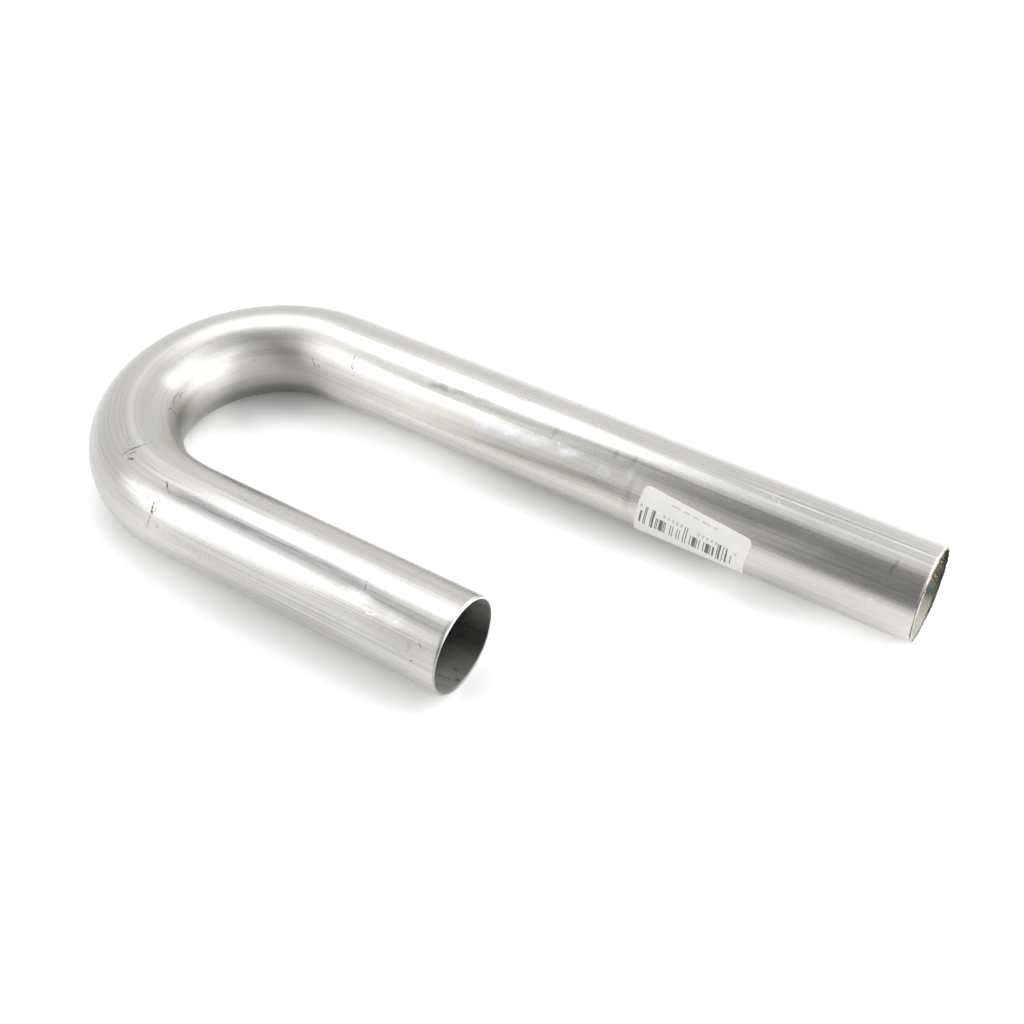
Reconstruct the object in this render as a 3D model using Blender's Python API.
"""Exhaust j-bend: one mandrel-bent steel tube with a short leg, a 180 degree bend and a long leg, and the paper
sticker wrapped on its long leg.

Metres, +Z up. The tube lies on its side on z = 0. +X runs along both legs towards their open ends, the long leg is on
the +Y side and the short leg on the -Y side. The origin is under the middle of the bounding box.
"""

import math

import bmesh
import bpy
from mathutils import Matrix, Vector

# tube
OD = 0.04445  # outer diameter, 1-3/4 in
WALL = 0.001245  # wall thickness of the straight legs, 18 gauge
CLR = 0.0635  # radius of the bend at the centre line, 2-1/2 in
SHORT_LEG = 0.1524  # straight length of the short leg from the bend, 6 in
LONG_LEG = 0.3048  # straight length of the long leg along its axis, 12 in
SAW_SLANT = math.radians(2.6)  # the long end's saw cut leans back this much at the top

# section inside the bend, where drawing the tube round the former changes it
NARROWED = 0.045  # share by which the section is narrower across the bend
RAISED = 0.020  # share by which it is taller at right angles to the bend
DRIFT = 0.00044  # the outer wall's section moves this far outwards
THINNING = 0.00035  # the bore moves this much further, so the outside wall is thin and the inside wall thick
RUN_IN = math.radians(22)  # angle over which the round section turns into the oval one

# sticker
LABEL_LENGTH = 0.0540
LABEL_HEIGHT = 0.0315
LABEL_CORNER = 0.0030
LABEL_THICK = 0.0002
LABEL_GAP = 0.0003  # clearance between the sticker and the tube
LABEL_ALONG = 0.2018  # from the bend's end to the sticker's middle, along the long leg
LABEL_AROUND = math.radians(183.6)  # where its middle faces, turned from +Y over the top
LABEL_TILT = math.radians(4.8)  # it was put on slightly askew
LABEL_STRIPS = 12

# mesh
SIDES = 48
BEND_STEPS = 36

R_OUT = OD / 2
R_BORE = R_OUT - WALL
Z_AXIS = R_OUT * (1 + RAISED)  # the bend is the tallest part, so it touches the ground
REACH = CLR + R_OUT * (1 - NARROWED) + DRIFT  # from the bend's centre to its outermost point
LONG_TIP = LONG_LEG + R_OUT * math.tan(SAW_SLANT)  # the slanted end is longest at the bottom
X_BEND = (REACH - LONG_TIP) / 2  # x of the bend's centre and of both legs' inner ends


def smooth(t):
    t = min(max(t, 0.0), 1.0)
    return t * t * (3 - 2 * t)


def collection(name):
    made = bpy.data.collections.new(name)
    bpy.context.scene.collection.children.link(made)
    return made


def material(name, colour, metallic, roughness):
    made = bpy.data.materials.new(name)
    made.use_nodes = True
    shader = made.node_tree.nodes["Principled BSDF"]
    shader.inputs["Base Color"].default_value = (*colour, 1.0)
    shader.inputs["Metallic"].default_value = metallic
    shader.inputs["Roughness"].default_value = roughness
    return made


def centreline(long_leg, short_leg):
    """Points from the long leg's end, round the bend, to the short leg's end."""
    points = [Vector((X_BEND + long_leg, CLR, Z_AXIS))]
    for k in range(BEND_STEPS + 1):
        a = math.pi * k / BEND_STEPS
        points.append(Vector((X_BEND - CLR * math.sin(a), CLR * math.cos(a), Z_AXIS)))
    points.append(Vector((X_BEND + short_leg, -CLR, Z_AXIS)))
    return points


def curve_to_mesh_object(curve, name, into):
    """A mesh object made from a curve, with its caps welded on. The curve is removed."""
    source = bpy.data.objects.new(name + "_curve", curve)
    into.objects.link(source)
    bpy.context.view_layer.update()
    mesh = bpy.data.meshes.new_from_object(source.evaluated_get(bpy.context.evaluated_depsgraph_get()))
    mesh.name = name
    bm = bmesh.new()
    bm.from_mesh(mesh)
    bmesh.ops.remove_doubles(bm, verts=bm.verts, dist=1e-6)
    bmesh.ops.recalc_face_normals(bm, faces=bm.faces)
    bm.to_mesh(mesh)
    bm.free()
    made = bpy.data.objects.new(name, mesh)
    made.matrix_world = source.matrix_world
    into.objects.link(made)
    bpy.data.objects.remove(source)
    bpy.data.curves.remove(curve)
    return made


def pipe(name, points, radius, drift, into):
    """A solid rod of the given radius along the centre line, with the bend's oval section."""
    curve = bpy.data.curves.new(name + "_path", "CURVE")
    curve.dimensions = "3D"
    curve.twist_mode = "Z_UP"
    curve.bevel_depth = radius
    curve.bevel_resolution = SIDES // 2 - 2
    curve.use_fill_caps = True
    spline = curve.splines.new("POLY")
    spline.points.add(len(points) - 1)
    for target, p in zip(spline.points, points):
        target.co = (*p, 1.0)
    rod = curve_to_mesh_object(curve, name, into)
    for v in rod.data.vertices:
        x, y = v.co.x - X_BEND, v.co.y
        if x > -1e-5:
            continue
        turn = math.atan2(-x, y)
        w = smooth(turn / RUN_IN) * smooth((math.pi - turn) / RUN_IN)
        out = math.hypot(x, y)
        new = CLR + (out - CLR) * (1 - NARROWED * w) + drift * w
        v.co.x = X_BEND + x * new / out
        v.co.y = y * new / out
        v.co.z = Z_AXIS + (v.co.z - Z_AXIS) * (1 + RAISED * w)
    rod.data.update()
    return rod


def as_cutter(thing):
    thing.hide_render = True
    thing.display_type = "WIRE"
    return thing


def cut(target, cutter):
    boolean = target.modifiers.new("cut_" + cutter.name, "BOOLEAN")
    boolean.operation = "DIFFERENCE"
    boolean.solver = "EXACT"
    boolean.object = cutter


def make_tube(parts, cutters):
    spare = 0.012
    tube = pipe("j_bend_tube", centreline(LONG_LEG + spare, SHORT_LEG), R_OUT, DRIFT, parts)
    bore = as_cutter(pipe("bore", centreline(LONG_LEG + 2 * spare, SHORT_LEG + spare), R_BORE, DRIFT + THINNING, cutters))
    # saw cut: a block whose near face crosses the long leg's axis at its end and leans back at the top
    size = Vector((0.06, 0.08, 0.08))
    bpy.ops.mesh.primitive_cube_add(size=1.0)
    saw = bpy.context.object
    saw.name = saw.data.name = "saw_cut"
    for home in list(saw.users_collection):
        home.objects.unlink(saw)
    cutters.objects.link(saw)
    saw.data.transform(Matrix.Diagonal((*size, 1.0)))
    saw.data.transform(Matrix.Translation((size.x / 2, 0, 0)))
    saw.rotation_euler = (0, -SAW_SLANT, 0)
    saw.location = (X_BEND + LONG_LEG, CLR, Z_AXIS)
    as_cutter(saw)
    cut(tube, bore)
    cut(tube, saw)
    tube.data.shade_smooth()
    tube.data.set_sharp_from_angle(angle=math.radians(30))
    tube.data.materials.append(material("bare_steel", (0.62, 0.61, 0.59), 1.0, 0.28))
    return tube


def rounded_rectangle(length, height, corner, steps=5):
    points = []
    for cx, cy, start in (
        (length / 2 - corner, height / 2 - corner, 0),
        (-length / 2 + corner, height / 2 - corner, 90),
        (-length / 2 + corner, -height / 2 + corner, 180),
        (length / 2 - corner, -height / 2 + corner, 270),
    ):
        for k in range(steps + 1):
            a = math.radians(start + 90 * k / steps)
            points.append((cx + corner * math.cos(a), cy + corner * math.sin(a)))
    return points


def make_label(parts):
    curve = bpy.data.curves.new("label_outline", "CURVE")
    curve.dimensions = "2D"
    curve.fill_mode = "BOTH"
    curve.extrude = LABEL_THICK / 2
    spline = curve.splines.new("POLY")
    outline = rounded_rectangle(LABEL_LENGTH, LABEL_HEIGHT, LABEL_CORNER)
    spline.points.add(len(outline) - 1)
    for target, (x, y) in zip(spline.points, outline):
        target.co = (x, y, 0.0, 1.0)
    spline.use_cyclic_u = True
    label = curve_to_mesh_object(curve, "paper_label", parts)
    # turned askew, sliced into strips along the tube's axis, then bent round the tube
    bm = bmesh.new()
    bm.from_mesh(label.data)
    bmesh.ops.rotate(bm, verts=bm.verts, matrix=Matrix.Rotation(-LABEL_TILT, 3, "Z"))
    half = LABEL_HEIGHT / 2 * math.cos(LABEL_TILT) + LABEL_LENGTH / 2 * math.sin(LABEL_TILT)
    for k in range(1, LABEL_STRIPS):
        y = -half + 2 * half * k / LABEL_STRIPS
        bmesh.ops.bisect_plane(bm, geom=bm.verts[:] + bm.edges[:] + bm.faces[:], dist=1e-7, plane_co=(0, y, 0), plane_no=(0, 1, 0))
    middle = R_OUT + LABEL_GAP + LABEL_THICK / 2
    for v in bm.verts:
        around = LABEL_AROUND - v.co.y / middle
        radius = middle + v.co.z
        v.co = Vector((X_BEND + LABEL_ALONG + v.co.x, CLR + radius * math.cos(around), Z_AXIS + radius * math.sin(around)))
    bmesh.ops.triangulate(bm, faces=bm.faces)
    bmesh.ops.recalc_face_normals(bm, faces=bm.faces)
    bm.to_mesh(label.data)
    bm.free()
    label.data.shade_smooth()
    label.data.set_sharp_from_angle(angle=math.radians(30))
    label.data.materials.append(material("label_paper", (0.84, 0.83, 0.79), 0.0, 0.55))
    return label


def main():
    for thing in list(bpy.data.objects):
        bpy.data.objects.remove(thing)
    parts = collection("exhaust_j_bend")
    cutters = collection("cutters")
    make_tube(parts, cutters)
    make_label(parts)


main()
